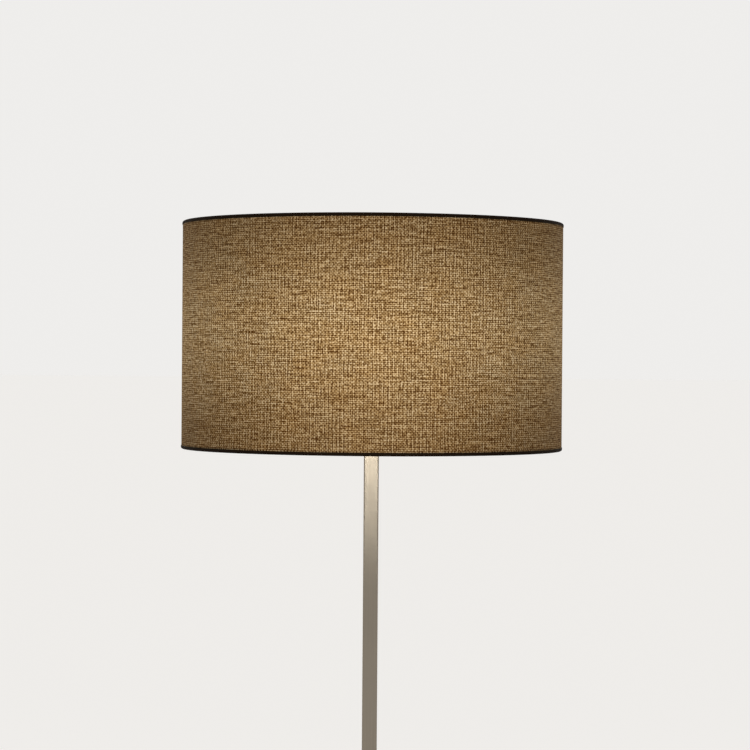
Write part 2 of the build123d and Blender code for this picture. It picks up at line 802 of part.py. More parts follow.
def harp():
    """Wire harp: one loop from leg to leg, with a drilled bridge brazed on at the top."""
    widest = harp_width / 2
    leg_bottom = saddle_top + saddle_shoulder + ferrule_gap
    flare, flared = saddle_top + leg_straight, saddle_top + leg_straight + leg_flare_rise
    turn_in = saddle_top + harp_widest_top
    inside = bridge_length * 2 / 3
    right = [
        (leg_x, 0, leg_bottom), (leg_x, 0, flare), (widest, 0, flared), (widest, 0, turn_in),
        (inside, 0, harp_wire_top),
    ]
    left = [(-x, y, z) for x, y, z in reversed(right)]
    radii = [36.0, 56.0, 72.0, 12.0]
    loop = bent_wire(right + left, radii + radii[::-1], harp_wire / 2)
    bridge = block(bridge_length, bridge_width, bridge_top - bridge_height, bridge_top)
    bridge = fillet(bridge.edges().filter_by(Axis.Z), bridge_round)
    pin_hole = swivel_pin_diameter / 2 + stud_running_gap
    return loop + bridge - rod(pin_hole, bridge_top - bridge_height, bridge_top)


def harp_ferrule(side):
    """Sleeve that slides down over a leg and its tab, waisted in the middle for the fingers."""
    outer, bore = ferrule_bore / 2 + ferrule_wall, ferrule_bore / 2
    top = ferrule_bottom + ferrule_height
    waist = outer - ferrule_wall / 3
    third = ferrule_height / 3
    half_section = turned_polygon([
        (bore, ferrule_bottom), (outer, ferrule_bottom), (outer, ferrule_bottom + third),
        (waist, ferrule_bottom + third * 1.25), (waist, top - third * 1.25), (outer, top - third), (outer, top),
        (bore, top),
    ])
    return Pos(side * ferrule_x, 0, 0) * half_section


# ---- Swivel, spider and finial ----


def harp_swivel():
    """Turning stud: riveted under the bridge, with a shoulder for the shade and a threaded end."""
    pin = swivel_pin_diameter / 2
    rivet_top = bridge_top - bridge_height - swivel_gap
    shoulder_bottom = bridge_top + swivel_gap
    return turned_polygon([
        (0, rivet_top - swivel_head_thickness), (swivel_head_diameter / 3, rivet_top - swivel_head_thickness),
        (swivel_head_diameter / 2, rivet_top - swivel_head_thickness / 2), (swivel_head_diameter / 2, rivet_top),
        (pin, rivet_top), (pin, shoulder_bottom), (swivel_shoulder_diameter / 2, shoulder_bottom),
        (swivel_shoulder_diameter / 2, spider_bottom), (stud_radius, spider_bottom), (stud_radius, stud_top - 0.8),
        (stud_radius - 0.8, stud_top), (0, stud_top),
    ])


def arm_route():
    """Half-section points of a spider arm: out from the washer, then up to the rim ring."""
    start = spider_washer_diameter / 2 - arm_wire
    end = ring_radius - ring_wire_radius / 2
    return [(start, 0, arm_height), (arm_bend_at, 0, arm_height), (end, 0, top_fold_height - ring_wire_radius / 2)]


def arm_angles():
    """The directions of the spider's arms, in degrees."""
    return [arm_first_angle + 360 / arm_count * i for i in range(arm_count)]


def shade_spider():
    """Welded wire frame: the washer, its three arms and the shade's upper rim ring."""
    frame = pipe(spider_washer_diameter / 2, stud_radius + spider_washer_hole_gap, spider_bottom, washer_top)
    frame += Pos(0, 0, top_fold_height) * Torus(ring_radius, ring_wire_radius)
    for angle in arm_angles():
        frame += Rot(0, 0, angle) * bent_wire(arm_route(), [arm_bend_radius], arm_radius)
    return frame


def finial():
    """Turned finial: a foot on the washer, a neck, and a domed button."""
    foot, neck, button = finial_diameter * 0.42, finial_neck_diameter / 2, finial_diameter / 2
    bore = stud_radius + stud_running_gap
    top = finial_bottom + finial_height
    bore_top = stud_top + finial_wall_over_stud / 2
    button_bottom = finial_bottom + finial_height * 0.45
    dome = finial_height * 0.28
    dome_radius = (button**2 + dome**2) / (2 * dome)
    dome_angle = math.degrees(math.asin(button / dome_radius))
    return turned(
        Line((bore, finial_bottom), (foot, finial_bottom)),
        Line((foot, finial_bottom), (foot, finial_bottom + 1.5)),
        Line((foot, finial_bottom + 1.5), (neck, finial_bottom + 3)),
        Line((neck, finial_bottom + 3), (neck, button_bottom - 1)),
        Line((neck, button_bottom - 1), (button, button_bottom + 1)),
        Line((button, button_bottom + 1), (button, top - dome)),
        CenterArc((0, top - dome_radius), dome_radius, 90 - dome_angle, dome_angle),
        Line((0, top), (0, bore_top)),
        Line((0, bore_top), (bore, bore_top)),
        Line((bore, bore_top), (bore, finial_bottom)),
    )


# ---- Shade ----


def tape_wrap(radius):
    """Corners of the tape's way round the wire, in flats that keep this distance from the middle of the fold."""
    half = tape_wrap_flat / 2
    turns = [half + tape_wrap_flat * i for i in range(int(tape_wrap_angle // tape_wrap_flat))]
    last = tape_wrap_angle % tape_wrap_flat
    corners = [(radius / math.cos(math.radians(half)), turn) for turn in turns]
    corners.append((radius / math.cos(math.radians(last)), tape_wrap_angle))
    return [(reach * math.cos(math.radians(turn)), reach * math.sin(math.radians(turn))) for reach, turn in corners]


def rim_tape(fold_height, up):
    """Tape folded over one rim: a short leg outside, round the wire, and a long leg inside. up is 1 or -1."""
    leg = tape_outside - tape_fold
    inside = liner_bore - layer_gap - tape_radius
    turn = -tape_fold - tape_thickness
    outline = [
        (tape_bore, -leg),
        (tape_fold, -leg),
        *tape_wrap(tape_fold),
        (inside - tape_thickness, turn - tape_thickness / 2),
        (inside - tape_thickness, -tape_inside),
        (inside, -tape_inside),
        (inside, turn),
        *reversed(tape_wrap(tape_bore)),
    ]
    return turned_polygon([(tape_radius + x, fold_height + up * z) for x, z in outline])


def upper_rim_tape():
    """Tape of the upper rim, notched where the three arms come through it."""
    tape = rim_tape(top_fold_height, 1)
    for angle in arm_angles():
        tape -= Rot(0, 0, angle) * bent_wire(arm_route(), [arm_bend_radius], arm_radius + arm_notch_gap)
    return tape


def panel_edge():
    """How far the edges of the fabric and liner reach into the fold of a tape, past its middle."""
    reach = fabric_radius - tape_radius
    return math.sqrt(tape_bore**2 - reach**2) - layer_gap


def shade_fabric():
    """Linen cover of the drum."""
    return pipe(fabric_radius, fabric_bore, bottom_fold_height - panel_edge(), top_fold_height + panel_edge())


def shade_liner():
    """Stiff translucent liner that the fabric is laminated on."""
    return pipe(liner_radius, liner_bore, bottom_fold_height - panel_edge(), top_fold_height + panel_edge())


def bottom_ring():
    """Wire ring in the shade's lower rim."""
    return Pos(0, 0, bottom_fold_height) * Torus(ring_radius, ring_wire_radius)


# ---- Nodes ----


def grouped(solids):
    """Several separate solids in one node."""
    return Compound(children=list(solids))


nodes = {
    "base_cover": base_cover(),
    "base_weight": base_weight(),
    "base_plate": base_plate(),
    "base_screws": grouped(base_screw(x, y) for x, y in corner_places(boss_inset)),
    "clamp_washer": clamp_washer(),
    "clamp_nut": clamp_nut(),
    "cord_bush": cord_bush(),
    "terminal_block": terminal_block(),
    "block_screws": grouped(block_screw(x, y) for x in block_poles() for y in block_screw_rows()),
    "lower_tube": stem_tube(base_top, lower_joint),
    "middle_tube": stem_tube(lower_joint, upper_joint),
    "upper_tube": stem_tube(upper_joint, stem_top),
    "lower_tube_foot_plug": end_plug(base_top),
    "lower_tube_head_plug": end_plug(lower_joint - plug_length),
    "middle_tube_foot_plug": end_plug(lower_joint),
    "middle_tube_head_plug": end_plug(upper_joint - plug_length),
    "upper_tube_foot_plug": end_plug(upper_joint),
    "upper_tube_head_plug": end_plug(stem_top - plug_length),
    "base_pipe": threaded_pipe(pipe_bottom, base_top + plug_length - pipe_end_gap),
    "lower_joint_pipe": threaded_pipe(
        lower_joint - plug_length + pipe_end_gap, lower_joint + plug_length - pipe_end_gap
    ),
    "upper_joint_pipe": threaded_pipe(
        upper_joint - plug_length + pipe_end_gap, upper_joint + plug_length - pipe_end_gap
    ),
    "top_pipe": threaded_pipe(stem_top - plug_length + pipe_end_gap, pipe_top),
    "stem_cap": stem_cap(),
    "live_lead": inner_lead(1),
    "neutral_lead": inner_lead(-1),
    "harp_saddle": harp_saddle(),
    "holder_cap": holder_cap(),
    "grub_screw": grub_screw(),
    "holder_shell": holder_shell(),
    "insulating_sleeve": insulating_sleeve(),
    "holder_body": holder_body(),
    "terminal_screws": grouped(terminal_screw(side) for side in (-1, 1)),
    "screw_shell": screw_shell(),
    "centre_contact": centre_contact(),
    "switch_shaft": switch_shaft(),
    "switch_knob": switch_knob(),
    "bulb_glass": bulb_glass(),
    "bulb_cap": bulb_cap(),
    "bulb_foot": bulb_foot(),
    "bulb_tip": bulb_tip(),
    "bulb_mount": bulb_mount(),
    "filament": filament(),
    "harp": harp(),
    "harp_ferrule_right": harp_ferrule(1),
    "harp_ferrule_left": harp_ferrule(-1),
    "harp_swivel": harp_swivel(),
    "shade_spider": shade_spider(),
    "bottom_ring": bottom_ring(),
    "shade_fabric": shade_fabric(),
    "upper_rim_tape": upper_rim_tape(),
    "lower_rim_tape": rim_tape(bottom_fold_height, -1),
    "shade_liner": shade_liner(),
    "finial": finial(),
}
for number, (x, y) in enumerate(corner_places(pad_inset), start=1):
    nodes[f"foot_pad_{number}"] = foot_pad(x, y)

os.makedirs("parts", exist_ok=True)
for name, shape in nodes.items():
    export_step(shape, f"parts/{name}.step")
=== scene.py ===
"""Floor lamp with a linen drum shade: materials, cloth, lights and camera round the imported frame."""

import math
import random

import bmesh
import bpy
from mathutils import Matrix, Vector


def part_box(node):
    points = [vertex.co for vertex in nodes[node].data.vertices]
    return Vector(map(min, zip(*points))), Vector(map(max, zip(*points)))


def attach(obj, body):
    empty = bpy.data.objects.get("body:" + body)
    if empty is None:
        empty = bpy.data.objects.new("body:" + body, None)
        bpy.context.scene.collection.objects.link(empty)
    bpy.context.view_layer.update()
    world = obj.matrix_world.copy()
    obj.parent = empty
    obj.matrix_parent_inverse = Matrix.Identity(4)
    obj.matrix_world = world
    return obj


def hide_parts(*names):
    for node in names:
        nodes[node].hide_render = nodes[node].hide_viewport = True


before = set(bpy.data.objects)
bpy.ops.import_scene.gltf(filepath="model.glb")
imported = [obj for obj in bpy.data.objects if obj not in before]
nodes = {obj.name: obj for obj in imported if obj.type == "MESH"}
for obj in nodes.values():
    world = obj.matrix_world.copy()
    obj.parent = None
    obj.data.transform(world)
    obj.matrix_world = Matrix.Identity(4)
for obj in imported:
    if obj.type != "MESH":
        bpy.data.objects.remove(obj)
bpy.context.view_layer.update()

# ---- Sizes, in metres ----

MM = 0.001
FABRIC_LOW, FABRIC_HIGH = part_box("shade_fabric")
TAPE_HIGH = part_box("upper_rim_tape")[1]
SHADE_TOP = TAPE_HIGH[2]
SHADE_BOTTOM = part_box("lower_rim_tape")[0][2]
SHADE_RADIUS = TAPE_HIGH[0]
FABRIC_RADIUS = FABRIC_HIGH[0]
FABRIC_THICKNESS = 0.65 * MM
LAP = 12 * MM
BULB_LOW, BULB_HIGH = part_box("bulb_glass")
BULB_RADIUS = (BULB_HIGH[0] - BULB_LOW[0]) / 2
BULB_MIDDLE = BULB_HIGH[2] - BULB_RADIUS

# The shade glows most halfway between the bulb's top and this rise above the shade's lower end.
GLOW_RISE = 0.14
GLOW_HEIGHT = (BULB_HIGH[2] + SHADE_BOTTOM + GLOW_RISE) / 2
CLOTH_GLOW_REACH = 0.155
LINER_GLOW_REACH = 0.17
BULB_GLOW_REACH = 0.055

# ---- Node helpers ----

BLACK = (0.0, 0.0, 0.0)
NOISE_LOW, NOISE_HIGH = 0.3, 0.7  # most of a noise lies between these


class Mat:
    """A material under construction: one Principled shader and short calls that add nodes to it."""

    def __init__(self, name, **values):
        self.material = bpy.data.materials.new(name)
        self.material.use_nodes = True
        self.tree = self.material.node_tree
        self.shader = next(n for n in self.tree.nodes if n.type == "BSDF_PRINCIPLED")
        for key, value in values.items():
            self.set(key.replace("_", " "), value)

    def set(self, socket, value):
        """Links or sets one of the shader's own sockets."""
        self.feed(self.shader.inputs[socket], value)

    def feed(self, socket, value):
        """Links a socket, or sets a number, a vector or a colour on it."""
        if value is None:
            return
        if isinstance(value, bpy.types.NodeSocket):
            self.tree.links.new(value, socket)
        elif isinstance(value, (tuple, list)) and len(value) == 3 and socket.type == "RGBA":
            socket.default_value = (*value, 1.0)
        else:
            socket.default_value = value

    def node(self, kind, inputs=(), **props):
        made = self.tree.nodes.new(kind)
        for key, value in props.items():
            setattr(made, key, value)
        for key, value in dict(inputs).items():
            self.feed(made.inputs[key], value)
        return made

    def coords(self, uv=None):
        """Object coordinates, or the named UV map, in metres."""
        if uv:
            return self.node("ShaderNodeUVMap", uv_map=uv).outputs["UV"]
        return self.node("ShaderNodeTexCoord").outputs["Object"]

    def stretched(self, vector, scale, shift=(0.0, 0.0, 0.0)):
        inputs = {"Vector": vector, "Scale": scale, "Location": shift}
        return self.node("ShaderNodeMapping", inputs).outputs["Vector"]

    def noise(self, vector, scale=1.0, detail=2.0, rough=0.5):
        inputs = {"Vector": vector, "Scale": scale, "Detail": detail, "Roughness": rough}
        return self.node("ShaderNodeTexNoise", inputs).outputs["Fac"]

    def math(self, operation, a, b=None):
        made = self.node("ShaderNodeMath", operation=operation)
        self.feed(made.inputs[0], a)
        self.feed(made.inputs[1], b)
        return made.outputs[0]

    def swing(self, value, span):
        """A noise moved to lie about zero, times a span."""
        return self.math("MULTIPLY", self.math("SUBTRACT", value, 0.5), span)

    def blend(self, a, b, share):
        """A share of one value plus the rest of another."""
        return self.math("ADD", self.math("MULTIPLY", a, share), self.math("MULTIPLY", b, 1 - share))

    def distance(self, value, place):
        return self.math("ABSOLUTE", self.math("SUBTRACT", value, place))

    def remap(self, value, low, high, out_low=0.0, out_high=1.0, smooth=False):
        inputs = {"Value": value, "From Min": low, "From Max": high, "To Min": out_low, "To Max": out_high}
        kind = "SMOOTHSTEP" if smooth else "LINEAR"
        return self.node("ShaderNodeMapRange", inputs, interpolation_type=kind).outputs["Result"]

    def mix(self, factor, a, b, blend="MIX"):
        made = self.node("ShaderNodeMix", data_type="RGBA", blend_type=blend)
        self.feed(made.inputs["Factor"], factor)
        colours = [s for s in made.inputs if s.type == "RGBA"]
        self.feed(colours[0], a)
        self.feed(colours[1], b)
        return next(s for s in made.outputs if s.type == "RGBA")

    def ramp(self, factor, *colours):
        """Evenly spaced colours along a factor."""
        made = self.node("ShaderNodeValToRGB", {"Fac": factor})
        stops = made.color_ramp.elements
        while len(stops) < len(colours):
            stops.new(0.5)
        for i, colour in enumerate(colours):
            stops[i].position = i / (len(colours) - 1)
            stops[i].color = (*colour, 1.0)
        return made.outputs["Color"]

    def bump(self, height, distance, strength):
        inputs = {"Height": height, "Distance": distance, "Strength": strength}
        return self.node("ShaderNodeBump", inputs).outputs["Normal"]

    def split(self, vector):
        return self.node("ShaderNodeSeparateXYZ", {"Vector": vector}).outputs

    def join(self, x, y, z=0.0):
        return self.node("ShaderNodeCombineXYZ", {"X": x, "Y": y, "Z": z}).outputs["Vector"]


def dress(material, *names):
    """Gives the named CAD nodes this material."""
    for name in names:
        data = nodes[name].data
        data.materials.clear()
        data.materials.append(material.material)


# ---- Materials ----

THREAD_COLOURS = (0.055, 0.018, 0.002), (0.258, 0.154, 0.060), (0.451, 0.332, 0.191)
THROUGH_COLOURS = (0.015, 0.006, 0.000), (0.144, 0.098, 0.042), (0.265, 0.212, 0.134)
COOL_TINT, WARM_TINT = (1.0, 1.03, 1.08), (1.0, 0.97, 0.92)
THREAD_WAVER = 0.0024
WEAVE_CLOSED, WEAVE_OPEN = -0.62, 0.66
GAP_POWER = 1.5
LAP_GLOW = 0.35  # share of the glow that is left where the cloth is double


def linen():
    """Slub linen lit from inside: brown threads, pale gold gaps, and a glow that fades towards the rims."""
    m = Mat("linen", Roughness=0.95, Specular_IOR_Level=0.05)
    uv = m.coords("cloth")
    x, y, _ = m.split(uv)
    waver_x = m.swing(m.noise(m.stretched(uv, (70, 18, 1)), 1.0, 2), THREAD_WAVER)
    waver_y = m.swing(m.noise(m.stretched(uv, (18, 70, 1), (5, 3, 1)), 1.0, 2), THREAD_WAVER)
    girth, rise = m.math("ADD", x, waver_x), m.math("ADD", y, waver_y)
    wavered = m.join(girth, rise)

    def lines(along, pitch, strength):
        """Even threads with this pitch in millimetres."""
        wave = m.math("SINE", m.math("MULTIPLY", along, 2 * math.pi / (pitch * MM)))
        return m.math("MULTIPLY", wave, strength)

    def thick_and_thin(size, shift, strength):
        """Uneven threads in cells of this size in millimetres, along the girth and up."""
        cell = (1 / (size[0] * MM), 1 / (size[1] * MM), 1)
        return m.swing(m.noise(m.stretched(wavered, cell, shift), 1.0, 1, 0.55), strength)

    def patchy(along, pitch, size, shift, strength):
        """Even threads that come and go over cells of this size."""
        return m.math("MULTIPLY", lines(along, pitch, 1.0), thick_and_thin(size, shift, strength))

    # The last number of each call is how strongly those threads show.
    parts = [
        lines(girth, 4.9, 0.155),
        lines(girth, 2.72, 0.16),
        lines(rise, 2.56, 0.25),
        m.math("MULTIPLY", lines(girth, 4.3, 0.30), lines(rise, 4.3, 1.0)),
        patchy(rise, 8.0, (26, 9), (2, 5, 0), 1.0),
        patchy(rise, 4.6, (22, 7), (6, 1, 0), 1.3),
        patchy(girth, 3.4, (7, 22), (8, 6, 0), 1.6),
        thick_and_thin((2.1, 8.0), (0, 0, 0), 1.35),
        thick_and_thin((8.0, 1.9), (7, 2, 0), 1.2),
        thick_and_thin((55, 6.0), (4, 8, 0), 0.4),
        thick_and_thin((2.0, 2.0), (3, 9, 0), 1.25),
    ]
    weave = parts[0]
    for part in parts[1:]:
        weave = m.math("ADD", weave, part)
    openness = m.math("POWER", m.remap(weave, WEAVE_CLOSED, WEAVE_OPEN), GAP_POWER)
    blotch = m.noise(m.stretched(uv, (26, 30, 1), (1, 4, 0)), 1.0, 3, 0.55)
    tint = m.mix(m.remap(blotch, 0.35, 0.68), COOL_TINT, WARM_TINT)
    woven = m.ramp(openness, *THREAD_COLOURS)
    m.set("Base Color", m.mix(1.0, woven, tint, "MULTIPLY"))

    away = m.distance(m.split(m.coords())[2], GLOW_HEIGHT)
    glow = m.remap(away, 0.0, CLOTH_GLOW_REACH, 1.0, 0.0, smooth=True)
    one_layer = m.remap(x, LAP - 0.5 * MM, LAP + 0.5 * MM)
    glow = m.math("MULTIPLY", glow, m.remap(one_layer, 0.0, 1.0, LAP_GLOW, 1.0))
    through = m.ramp(openness, *THROUGH_COLOURS)
    m.set("Emission Color", m.mix(glow, BLACK, m.mix(1.0, through, tint, "MULTIPLY")))
    m.set("Emission Strength", 1.0)
    m.set("Normal", m.bump(m.math("SUBTRACT", 1.0, openness), 0.35 * MM, 0.6))
    return m


TAPE_RIBS = 1800  # round the whole rim


def rim_tape():
    """Dark woven tape: fine ribs across it and a little lint."""
    m = Mat("rim_tape", Roughness=0.9, Specular_IOR_Level=0.04)
    where = m.coords()
    x, y, _ = m.split(where)
    turn = m.math("ARCTAN2", x, y)
    ribs = m.math("SINE", m.math("MULTIPLY", turn, TAPE_RIBS))
    lint = m.noise(where, 900.0, 3, 0.6)
    tone = m.math("ADD", m.math("MULTIPLY", ribs, 0.18), lint)
    dark, pale = (0.005, 0.0027, 0.0013), (0.014, 0.0076, 0.0036)
    m.set("Base Color", m.mix(m.remap(tone, 0.2, 0.8), dark, pale))
    m.set("Normal", m.bump(tone, 0.12 * MM, 0.6))
    return m


def liner():
    """Translucent backing of the linen: a painted glow from the bulb, with the weave's shadow faintly
    painted into its colour and glow.
    """
    m = Mat("liner", Roughness=0.55)
    x, y, z = m.split(m.coords())
    turn = m.math("MULTIPLY", m.math("ARCTAN2", x, y), SHADE_RADIUS)
    flat = m.join(turn, z)
    fine, long = 1 / (1.6 * MM), 1 / (20 * MM)
    up = m.noise(m.stretched(flat, (fine, long, 1)), 1.0, 2, 0.6)
    across = m.noise(m.stretched(flat, (long, fine, 1), (3, 1, 0)), 1.0, 2, 0.6)
    shadow = m.remap(m.math("ADD", up, across), 0.7, 1.3)
    # Painted shadow of the weave: the threads darken the liner's colour here and its glow below.
    m.set("Base Color", m.mix(shadow, (0.50, 0.45, 0.36), (0.60, 0.56, 0.48)))
    away = m.distance(z, GLOW_HEIGHT)
    glow = m.remap(away, 0.0, LINER_GLOW_REACH, 1.0, 0.35, smooth=True)
    lit = m.mix(shadow, (0.42, 0.31, 0.19), (0.52, 0.40, 0.26))
    m.set("Emission Color", m.mix(glow, BLACK, lit))
    m.set("Emission Strength", 1.0)
    m.set("Normal", m.bump(shadow, 0.05 * MM, 0.4))
    return m


def brushed(name, colour, rough, along):
    """Satin metal with fine brushing along one axis, faint handling marks and a little grime."""
    m = Mat(name, Metallic=1.0)
    where = m.coords()
    scale = [1 / (0.35 * MM)] * 3
    scale["XYZ".index(along)] = 6.0
    grain = m.noise(m.stretched(where, tuple(scale)), 1.0, 3, 0.65)
    wipe = m.noise(where, 9.0, 3, 0.6)
    spots = m.noise(where, 140.0, 4, 0.7)
    dark = tuple(c * 0.82 for c in colour)
    bright = tuple(min(1.0, c * 1.08) for c in colour)
    tone = m.blend(grain, wipe, 0.7)
    m.set("Base Color", m.mix(m.remap(tone, NOISE_LOW, NOISE_HIGH), dark, bright))
    base = m.remap(grain, NOISE_LOW, NOISE_HIGH, rough - 0.05, rough + 0.07)
    marks = m.math("ADD", wipe, m.math("MULTIPLY", spots, 0.4))
    smear = m.math("MULTIPLY", m.math("SUBTRACT", marks, 0.7), 0.16)
    m.set("Roughness", m.math("ADD", base, smear))
    m.set("Normal", m.bump(grain, 0.03 * MM, 0.5))
    return m


def plated(name, colour, rough):
    """Smooth plated metal with faint clouding."""
    m = Mat(name, Metallic=1.0)
    where = m.coords()
    cloud = m.noise(where, 60.0, 4, 0.6)
    fine = m.noise(where, 900.0, 2, 0.5)
    dull = tuple(c * 0.88 for c in colour)
    m.set("Base Color", m.mix(m.remap(cloud, NOISE_LOW, NOISE_HIGH), dull, colour))
    tone = m.blend(cloud, fine, 0.7)
    m.set("Roughness", m.remap(tone, NOISE_LOW, NOISE_HIGH, rough - 0.05, rough + 0.09))
    m.set("Normal", m.bump(fine, 0.01 * MM, 0.4))
    return m


def grainy(name, dark, pale, rough, scale, relief, **values):
    """A surface in two tones, with a fine grain, soft clouds and some relief."""
    m = Mat(name, **values)
    where = m.coords()
    grain = m.noise(where, scale, 4, 0.65)
    cloud = m.noise(where, scale / 14, 3, 0.55)
    tone = m.blend(grain, cloud, 0.6)
    m.set("Base Color", m.mix(m.remap(tone, NOISE_LOW, NOISE_HIGH), dark, pale))
    m.set("Roughness", m.remap(tone, NOISE_LOW, NOISE_HIGH, rough - 0.06, rough + 0.06))
    m.set("Normal", m.bump(grain, relief * MM, 0.6))
    return m


def frosted_bulb():
    """Lit frosted glass: brightest round the filament, a little duller at the neck."""
    m = Mat("frosted_bulb", Roughness=0.5, IOR=1.5)
    where = m.coords()
    away = m.distance(m.split(where)[2], BULB_MIDDLE)
    near = m.remap(away, 0.0, BULB_GLOW_REACH, 1.0, 0.35, smooth=True)
    frost = m.noise(where, 1500.0, 2, 0.5)
    m.set("Base Color", m.mix(frost, (0.20, 0.18, 0.15), (0.26, 0.24, 0.20)))
    m.set("Emission Color", m.mix(near, (0.50, 0.32, 0.15), (1.0, 0.80, 0.50)))
    m.set("Emission Strength", 0.9)
    m.set("Normal", m.bump(frost, 0.02 * MM, 0.3))
    return m


# Metals: colour and roughness, and for brushed ones the axis of the brushing.
SATIN = (0.25, 0.218, 0.176)
STEEL = brushed("stem_steel", SATIN, 0.42, "Z")
COVER_STEEL = brushed("cover_steel", SATIN, 0.40, "Y")
FINIAL_STEEL = plated("finial_steel", (0.46, 0.44, 0.41), 0.30)
NICKEL = plated("nickel", (0.72, 0.70, 0.66), 0.22)
ZINC = plated("zinc", (0.66, 0.67, 0.68), 0.34)
BRASS = plated("brass", (0.74, 0.56, 0.28), 0.26)
ALLOY = plated("bulb_metal", (0.74, 0.73, 0.70), 0.30)
SOLDER = plated("solder", (0.60, 0.60, 0.59), 0.45)
TUNGSTEN = plated("tungsten", (0.35, 0.33, 0.31), 0.4)

# The rest: dark and pale tone, roughness, scale of the grain, and relief in millimetres.
BLACK_OXIDE = grainy(
    "black_oxide", (0.035, 0.035, 0.037), (0.075, 0.075, 0.078), 0.5, 700.0, 0.03, Metallic=0.6
)
CAST = grainy("cast_iron", (0.030, 0.030, 0.032), (0.085, 0.083, 0.080), 0.75, 320.0, 0.35)
FELT = grainy(
    "felt", (0.030, 0.030, 0.031), (0.095, 0.092, 0.090), 0.95, 1200.0, 0.25, Sheen_Weight=0.4
)
NYLON = grainy("bush_nylon", (0.018, 0.018, 0.019), (0.040, 0.040, 0.041), 0.48, 1400.0, 0.02)
BLOCK = grainy("block_nylon", (0.66, 0.65, 0.60), (0.76, 0.75, 0.70), 0.5, 900.0, 0.02)
LEAD = grainy("lead", (0.42, 0.35, 0.21), (0.52, 0.44, 0.28), 0.4, 500.0, 0.02)
FIBRE = grainy("fibre", (0.28, 0.18, 0.10), (0.42, 0.29, 0.17), 0.7, 800.0, 0.04)
PHENOLIC = grainy(
    "phenolic", (0.012, 0.011, 0.011), (0.030, 0.028, 0.027), 0.30, 900.0, 0.015, Coat_Weight=0.2
)
BLACK_GLASS = grainy("black_glass", (0.010, 0.010, 0.014), (0.022, 0.022, 0.028), 0.12, 200.0, 0.01)
MOUNT_GLASS = grainy(
    "mount_glass", (0.70, 0.72, 0.70), (0.80, 0.82, 0.80), 0.12, 200.0, 0.01, Alpha=0.5
)
LACQUER = grainy(
    "white_lacquer", (0.66, 0.64, 0.59), (0.78, 0.76, 0.71), 0.35, 260.0, 0.03, Coat_Weight=0.3
)
LINEN, TAPE, LINER, BULB = linen(), rim_tape(), liner(), frosted_bulb()

TUBES, TUBE_ENDS = ("lower", "middle", "upper"), ("foot", "head")

dress(STEEL, "stem_cap", *[f"{tube}_tube" for tube in TUBES])
dress(COVER_STEEL, "base_cover")
dress(FINIAL_STEEL, "finial")
dress(NICKEL, "harp", "harp_saddle", "harp_ferrule_left", "harp_ferrule_right")
dress(NICKEL, "harp_swivel", "switch_shaft")
dress(BRASS, "holder_cap", "holder_shell", "screw_shell", "centre_contact")
dress(BRASS, "terminal_screws", "block_screws")
dress(ZINC, "base_pipe", "lower_joint_pipe", "upper_joint_pipe", "top_pipe")
dress(ZINC, "clamp_washer", "clamp_nut", "base_screws", "grub_screw")
dress(BLACK_OXIDE, "base_plate", *[f"{tube}_tube_{end}_plug" for tube in TUBES for end in TUBE_ENDS])
dress(CAST, "base_weight")
dress(FELT, "foot_pad_1", "foot_pad_2", "foot_pad_3", "foot_pad_4")
dress(NYLON, "cord_bush")
dress(BLOCK, "terminal_block")
dress(LEAD, "live_lead", "neutral_lead")
dress(FIBRE, "insulating_sleeve")
dress(PHENOLIC, "holder_body", "switch_knob")
dress(BULB, "bulb_glass")
dress(MOUNT_GLASS, "bulb_mount")
dress(ALLOY, "bulb_cap")
dress(BLACK_GLASS, "bulb_foot")
dress(SOLDER, "bulb_tip")
dress(TUNGSTEN, "filament")
dress(LACQUER, "shade_spider", "bottom_ring")
dress(LINER, "shade_liner")
dress(TAPE, "upper_rim_tape", "lower_rim_tape")
dress(LINEN, "shade_fabric")

# ---- Meshes made here ----


def finished(mesh, name, material):
    """The object made from a bmesh, with its normals outward and one material."""
    bmesh.ops.recalc_face_normals(mesh, faces=mesh.faces)
    data = bpy.data.meshes.new(name)
    mesh.to_mesh(data)
    mesh.free()
    data.materials.append(material.material)
    made = bpy.data.objects.new(name, data)
    bpy.context.scene.collection.objects.link(made)
    return made


# ---- Cloth ----

CLOTH_COLUMNS, CLOTH_ROWS = 900, 52
CLOTH_SEAM = math.pi / 2  # the middle of the lap is at the back
CLOTH_END_GAP = 0.2 * MM
CLOTH_INSET = 0.10 * MM
CLOTH_SLACK = 0.035 * MM
CLOTH_THICKNESS = FABRIC_THICKNESS - 0.15 * MM
LAP_THICKNESS = FABRIC_THICKNESS * 0.7
LAP_LIFT = 0.50 * MM
LAP_RUN_OUT = 0.3 * LAP
# The rim tapes hold the lap down to this share of its lift, which comes back within 1/12 of the height.
LAP_HELD, LAP_RISE = 0.15, 12


def lap_lift(s):
    """How far the cloth stands off the drum at a length along it: full on the lap, then down to nothing."""
    if s < LAP:
        return LAP_LIFT
    return LAP_LIFT * max(0.0, 1 - (s - LAP) / LAP_RUN_OUT)


